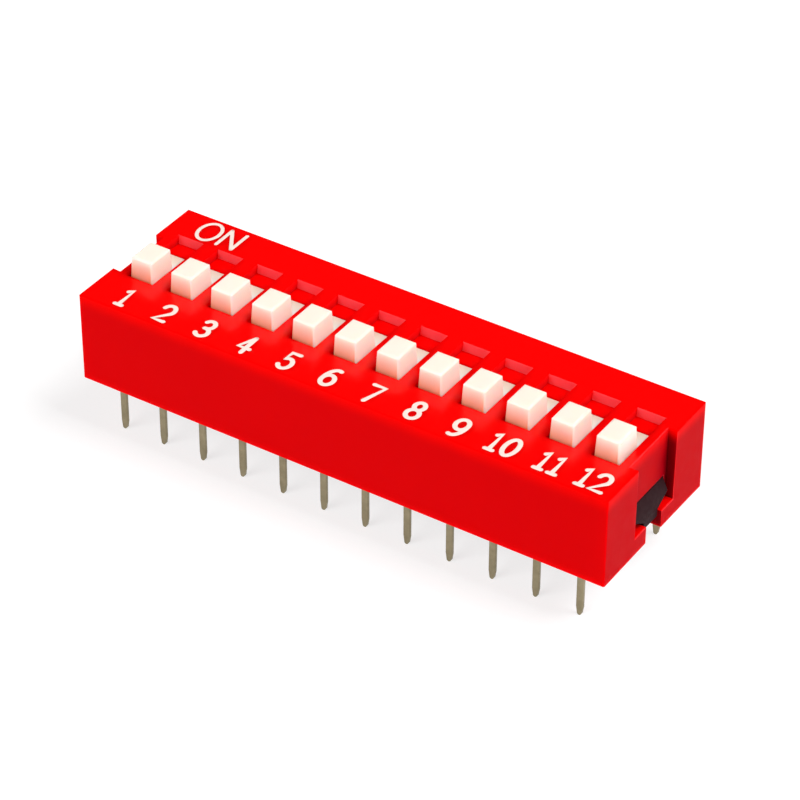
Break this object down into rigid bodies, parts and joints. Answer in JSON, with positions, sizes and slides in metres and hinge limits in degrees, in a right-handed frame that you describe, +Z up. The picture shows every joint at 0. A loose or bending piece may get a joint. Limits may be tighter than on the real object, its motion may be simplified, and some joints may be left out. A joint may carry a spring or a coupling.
{
  "type": "dip switch",
  "caption": "Slide-type DIP switch: red moulded cover with a row of white slide knobs, a black snap-in base and two rows of flat through-hole pins for a circuit board.",
  "frame": {"origin": "middle of the seating plane, where the flat underside of the base meets the board", "axes": "+X along the row from position 1 to the last position, +Y from the numbered side to the ON side, +Z up from the board"},
  "size_m": [0.0316, 0.0096, 0.0095],
  "materials": {
    "cover_red": "moulded, satin gloss",
    "slider_white": "moulded, fine satin",
    "base_black": "moulded",
    "contact_brass": "stamped spring strip",
    "terminal_tin": "stamped sheet, dull tin plating"
  },
  "bodies": {
    "housing": {"cover": "cover_red", "base": "base_black", "front_terminal_1": "terminal_tin", "front_terminal_2": "terminal_tin", "front_terminal_3": "terminal_tin", "front_terminal_4": "terminal_tin", "front_terminal_5": "terminal_tin", "front_terminal_6": "terminal_tin", "front_terminal_7": "terminal_tin", "front_terminal_8": "terminal_tin", "front_terminal_9": "terminal_tin", "front_terminal_10": "terminal_tin", "front_terminal_11": "terminal_tin", "front_terminal_12": "terminal_tin", "rear_terminal_1": "terminal_tin", "rear_terminal_2": "terminal_tin", "rear_terminal_3": "terminal_tin", "rear_terminal_4": "terminal_tin", "rear_terminal_5": "terminal_tin", "rear_terminal_6": "terminal_tin", "rear_terminal_7": "terminal_tin", "rear_terminal_8": "terminal_tin", "rear_terminal_9": "terminal_tin", "rear_terminal_10": "terminal_tin", "rear_terminal_11": "terminal_tin", "rear_terminal_12": "terminal_tin"},
    "actuator_1": {"slider_1": "slider_white", "contact_1": "contact_brass"},
    "actuator_2": {"slider_2": "slider_white", "contact_2": "contact_brass"},
    "actuator_3": {"slider_3": "slider_white", "contact_3": "contact_brass"},
    "actuator_4": {"slider_4": "slider_white", "contact_4": "contact_brass"},
    "actuator_5": {"slider_5": "slider_white", "contact_5": "contact_brass"},
    "actuator_6": {"slider_6": "slider_white", "contact_6": "contact_brass"},
    "actuator_7": {"slider_7": "slider_white", "contact_7": "contact_brass"},
    "actuator_8": {"slider_8": "slider_white", "contact_8": "contact_brass"},
    "actuator_9": {"slider_9": "slider_white", "contact_9": "contact_brass"},
    "actuator_10": {"slider_10": "slider_white", "contact_10": "contact_brass"},
    "actuator_11": {"slider_11": "slider_white", "contact_11": "contact_brass"},
    "actuator_12": {"slider_12": "slider_white", "contact_12": "contact_brass"}
  },
  "joints": [
    {"name": "slide_1", "type": "slide", "parent": "housing", "child": "actuator_1", "axis": [0, 1, 0], "range_m": [0, 0.00145]},
    {"name": "slide_2", "type": "slide", "parent": "housing", "child": "actuator_2", "axis": [0, 1, 0], "range_m": [0, 0.00145]},
    {"name": "slide_3", "type": "slide", "parent": "housing", "child": "actuator_3", "axis": [0, 1, 0], "range_m": [0, 0.00145]},
    {"name": "slide_4", "type": "slide", "parent": "housing", "child": "actuator_4", "axis": [0, 1, 0], "range_m": [0, 0.00145]},
    {"name": "slide_5", "type": "slide", "parent": "housing", "child": "actuator_5", "axis": [0, 1, 0], "range_m": [0, 0.00145]},
    {"name": "slide_6", "type": "slide", "parent": "housing", "child": "actuator_6", "axis": [0, 1, 0], "range_m": [0, 0.00145]},
    {"name": "slide_7", "type": "slide", "parent": "housing", "child": "actuator_7", "axis": [0, 1, 0], "range_m": [0, 0.00145]},
    {"name": "slide_8", "type": "slide", "parent": "housing", "child": "actuator_8", "axis": [0, 1, 0], "range_m": [0, 0.00145]},
    {"name": "slide_9", "type": "slide", "parent": "housing", "child": "actuator_9", "axis": [0, 1, 0], "range_m": [0, 0.00145]},
    {"name": "slide_10", "type": "slide", "parent": "housing", "child": "actuator_10", "axis": [0, 1, 0], "range_m": [0, 0.00145]},
    {"name": "slide_11", "type": "slide", "parent": "housing", "child": "actuator_11", "axis": [0, 1, 0], "range_m": [0, 0.00145]},
    {"name": "slide_12", "type": "slide", "parent": "housing", "child": "actuator_12", "axis": [0, 1, 0], "range_m": [0, 0.00145]}
  ]
}
